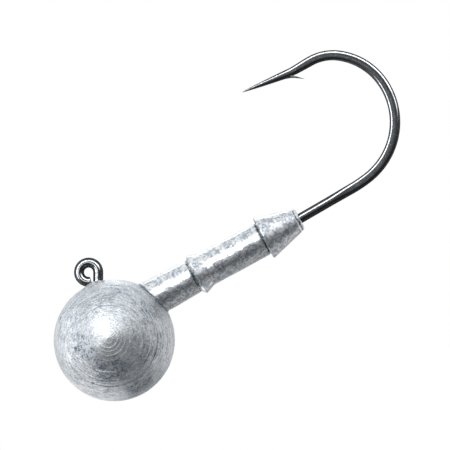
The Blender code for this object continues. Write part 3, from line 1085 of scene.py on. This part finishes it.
# %% [markdown]
# ## Soft boxes
#
# Area lights add the highlights. Each one stands on a ball round the object and faces it, so its
# place is two angles and a distance, and its strength is a radiance, which stays the same when
# the box changes size. Bright lead and black wire want different highlights, so most boxes light
# only one of the two, by light linking.

# %% Soft box helper
STUDIO_MIDDLE = Vector((8 * MM, 0, -3 * MM))


def soft_box(name, azimuth, elevation, distance, size, radiance, receivers=None):
    """A soft box that faces the object. Azimuth 0 is in front, and 90 is on the right."""
    data = bpy.data.lights.new(name, "AREA")
    data.shape = "RECTANGLE"
    data.size, data.size_y = size
    data.energy = radiance * math.pi * size[0] * size[1]
    box = bpy.data.objects.new(name, data)
    a, e = math.radians(azimuth), math.radians(elevation)
    out = Vector((math.sin(a) * math.cos(e), -math.cos(a) * math.cos(e), math.sin(e)))
    box.location = STUDIO_MIDDLE + out * distance
    box.rotation_euler = out.to_track_quat("Z", "Y").to_euler()
    box.visible_camera = False
    if receivers is not None:
        box.light_linking.receiver_collection = receivers
    bpy.context.scene.collection.objects.link(box)
    print(name, "stands at", [round(v, 3) for v in box.location])
    return box


# %% [markdown]
# The casting gets a key above the front for the bright side of the pole, a small low box for its
# white core, and a tall box on the left for the ball's rim. A box behind lights both pieces.

# %% Boxes for the casting
head_only = bpy.data.collections.new("head_only")
head_only.objects.link(head)
head_only.objects.link(floor)
soft_box("key_box", 0, 31, 0.50, (0.15, 0.22), 2.2, head_only)
soft_box("low_box", -3, 13, 0.50, (0.13, 0.13), 4.2, head_only)
soft_box("left_box", -94, 34, 0.50, (0.08, 0.66), 3.5, head_only)
soft_box("back_box", 165, 40, 0.60, (0.30, 0.30), 1.2)
print("the casting has four boxes")

# %% [markdown]
# A glossy wire shows a box as one thin line, on the part of the wire that turns towards it. The
# hook turns through a half circle, so an arc of boxes follows it. They all stand at one tilt from
# the line to the camera, fanned out above the object, and together they draw an unbroken white
# line along the shank and the bend.

# %% Arc of boxes for the hook
ARC_TILT = math.radians(50)           # away from the line to the camera
ARC_FANS = (-66, -50, -34, -17, 0, 17, 34, 50, 66, 80)   # degrees clockwise from straight up
ARC_SIZE = (0.20, 0.20)
ARC_DISTANCE = 0.50
ARC_RADIANCE = 13.0
CAMERA_DIP = 0.1                      # how far the line to the camera falls for its length
hook_only = bpy.data.collections.new("hook_only")
hook_only.objects.link(hook)
level, low = math.cos(ARC_TILT), math.sin(ARC_TILT)
for number, fan in enumerate(ARC_FANS):
    aside, rise = math.sin(math.radians(fan)) * low, math.cos(math.radians(fan)) * low
    out = Vector((aside, -level - CAMERA_DIP * rise, rise - CAMERA_DIP * level))
    azimuth = math.degrees(math.atan2(out.x, -out.y))
    elevation = math.degrees(math.asin(out.normalized().z))
    soft_box(f"arc_box_{number}", azimuth, elevation, ARC_DISTANCE, ARC_SIZE, ARC_RADIANCE,
             hook_only)

# %% [markdown]
# The eye is a small ring that the arc hardly reaches. A tiny box close in front of it draws the
# white line on its face, and a weak card keeps the flats of the bend from going quite black.

# %% Eye box and front card
EYE_BOX_PLACE = (-11 * MM, -59 * MM, 8 * MM)
eye_box = soft_box("eye_box", -10, 7, 0.50, (0.016, 0.014), 14.0, hook_only)
eye_box.location = EYE_BOX_PLACE
soft_box("front_card", 7, 0, 0.50, (0.20, 0.20), 0.5, hook_only)
print("the eye box moves to", EYE_BOX_PLACE)

# %% [markdown]
# ## Camera
#
# The camera looks square at the hook's side from a little below, and it is rolled, so that the
# shank climbs to the right. It stands close enough for the ball to show its pole above and left
# of its middle. The plain view transform keeps the white ground white.

# %% Camera
CAMERA_DISTANCE = 200 * MM
CAMERA_TARGET = Vector((13.46, 0, -2.63)) * MM
CAMERA_ELEVATION = math.radians(-5.8)
CAMERA_ROLL = math.radians(30.1)
FOCAL_LENGTH = 168.6          # millimetres, on a sensor 36 wide
lens = bpy.data.cameras.new("camera")
lens.lens = FOCAL_LENGTH
lens.sensor_width = 36.0
lens.clip_start = 0.01
camera = bpy.data.objects.new("camera", lens)
sin_e, cos_e = math.sin(CAMERA_ELEVATION), math.cos(CAMERA_ELEVATION)
out = Vector((0, -cos_e, sin_e))
up = Vector((0, sin_e, cos_e))
across = Vector((1, 0, 0))
right = across * math.cos(CAMERA_ROLL) - up * math.sin(CAMERA_ROLL)
top = across * math.sin(CAMERA_ROLL) + up * math.cos(CAMERA_ROLL)
turned = Matrix((right, top, out)).transposed().to_4x4()
camera.matrix_world = Matrix.Translation(CAMERA_TARGET + out * CAMERA_DISTANCE) @ turned
bpy.context.scene.collection.objects.link(camera)
bpy.context.scene.camera = camera
bpy.context.scene.view_settings.view_transform = "Standard"
print("the camera stands at", [round(v, 3) for v in camera.matrix_world.translation])
